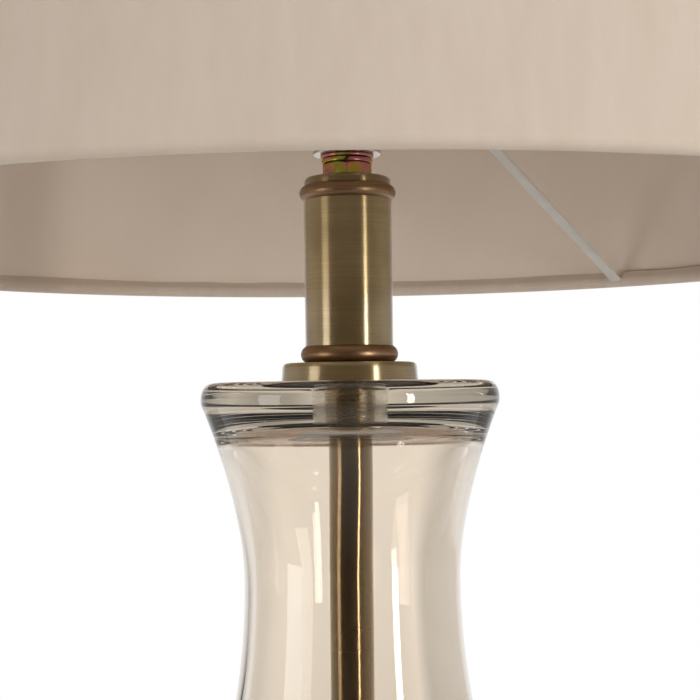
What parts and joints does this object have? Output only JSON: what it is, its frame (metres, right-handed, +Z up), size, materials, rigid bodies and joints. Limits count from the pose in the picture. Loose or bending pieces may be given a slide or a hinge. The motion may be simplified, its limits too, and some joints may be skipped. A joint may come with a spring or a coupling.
{
  "type": "table lamp",
  "caption": "Table lamp with a flared, waisted glass body over a brass rod, a turned brass neck, a screw lampholder and a tapered fabric shade that turns on its carrier.",
  "frame": {"origin": "on the table, at the foot of the lamp's axis, under the middle of the felt", "axes": "+Z up along the lamp's axis, +Y to the back, where the cord leaves, +X to the right as seen from the front"},
  "size_m": [0.356, 0.3558, 0.5772],
  "materials": {
    "felt": "pressed wool felt",
    "brushed_brass": "antique brass, brushed round the axis and lacquered",
    "bronze_bead": "darkened bronze, satin",
    "cast_iron": "as cast, painted",
    "black_nylon": "moulded nylon",
    "zinc_yellow": "yellow zinc with an iridescent passivate",
    "clear_seal": "clear silicone",
    "tinted_glass": "clear champagne tint, polished, ground in the bore",
    "threaded_steel": "rolled thread, zinc plated",
    "nickel_plate": "bright nickel plate on steel",
    "porcelain": "glazed porcelain",
    "contact_brass": "bare brass",
    "white_phenolic": "moulded white phenolic",
    "shade_velvet": "short pile velvet, champagne",
    "shade_lining": "stiff laminated lining, matt",
    "white_enamel": "white enamel on steel wire"
  },
  "bodies": {
    "lamp_body": {"base_felt": "felt", "base_cover": "brushed_brass", "base_weight": "cast_iron", "cord_bush": "black_nylon", "base_washer": "zinc_yellow", "base_nut": "zinc_yellow", "foot_gasket": "clear_seal", "foot_locator": "brushed_brass", "glass_body": "tinted_glass", "rod_sleeve": "brushed_brass", "threaded_tube": "threaded_steel", "top_gasket": "clear_seal", "cap_disc": "brushed_brass", "lower_bead": "bronze_bead", "neck_tube": "brushed_brass", "upper_bead": "bronze_bead", "neck_cap": "brushed_brass", "neck_nut": "zinc_yellow", "lock_washer": "zinc_yellow", "flat_washer": "zinc_yellow", "seat_plate": "nickel_plate", "holder_cap": "nickel_plate", "holder_insert": "porcelain", "terminal_screws": "contact_brass", "screw_shell": "nickel_plate", "holder_skirt": "white_phenolic"},
    "contact_pin": {"centre_contact": "contact_brass"},
    "support_ring": {"support_ring": "white_phenolic"},
    "shade": {"shade_fabric": "shade_velvet", "shade_lining": "shade_lining", "lower_wire": "white_enamel", "upper_wire": "white_enamel", "fitter_ring": "white_enamel", "fitter_arms": "white_enamel"},
    "clamp_ring": {"clamp_ring": "white_phenolic"}
  },
  "joints": [
    {"name": "shade_height", "type": "slide", "parent": "lamp_body", "child": "support_ring", "axis": [0, 0, 1], "range_m": [-0.0025, 0.006]},
    {"name": "shade_swivel", "type": "hinge", "parent": "support_ring", "child": "shade", "pos_m": [0, 0, 0.4072], "axis": [0, 0, 1], "continuous": true},
    {"name": "clamp_ring_unscrew", "type": "slide", "parent": "support_ring", "child": "clamp_ring", "axis": [0, 0, 1], "range_m": [0, 0.008]},
    {"name": "contact_press", "type": "slide", "parent": "lamp_body", "child": "contact_pin", "axis": [0, 0, -1], "range_m": [0, 0.0012], "stiffness_N_per_m": 2000, "springref_m": -0.0005}
  ]
}
